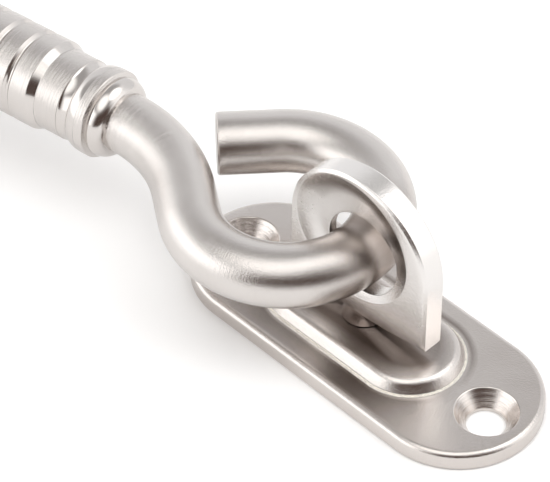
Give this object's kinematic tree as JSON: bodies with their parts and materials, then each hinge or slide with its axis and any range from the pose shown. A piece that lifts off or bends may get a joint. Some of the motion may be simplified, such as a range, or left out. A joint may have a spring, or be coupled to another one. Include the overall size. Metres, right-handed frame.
{
  "type": "hook and eye latch",
  "caption": "Cabin hook latch: a turned bar with a closed loop in a swivel eye on a screw plate, and an open hook that drops into a matching eye on a second plate.",
  "frame": {"origin": "centre of the pivot plate's screw hole pattern, on its underside", "axes": "+X along the two screw plates, away from the catch; +Y across the plates, the way the hook's tip points; +Z out of the mounting surface"},
  "size_m": [0.203, 0.0509, 0.0271],
  "materials": {
    "polished_nickel": "tumbled and nickel plated, slightly warm",
    "satin_nickel_eye": "satin nickel",
    "satin_nickel_bar": "satin brushed nickel with polished grooves"
  },
  "bodies": {
    "plates": {"pivot_plate": "polished_nickel", "catch_plate": "polished_nickel"},
    "pivot_eye": {"pivot_eye": "satin_nickel_eye"},
    "hook_bar": {"hook_bar": "satin_nickel_bar"},
    "catch_eye": {"catch_eye": "satin_nickel_eye"}
  },
  "joints": [
    {"name": "pivot_eye_swivel", "type": "hinge", "parent": "plates", "child": "pivot_eye", "pos_m": [0, 0, 0.0045], "axis": [0, 0, 1], "range_deg": [-8.3, 160]},
    {"name": "bar_lift", "type": "hinge", "parent": "pivot_eye", "child": "hook_bar", "pos_m": [-0.0008, -0.00012, 0.01409], "axis": [-0.1513, 0.9885, 0], "range_deg": [0, 180]},
    {"name": "catch_eye_swivel", "type": "hinge", "parent": "plates", "child": "catch_eye", "pos_m": [-0.15, 0, 0.0045], "axis": [0, 0, 1], "range_deg": [-20, 20]}
  ]
}
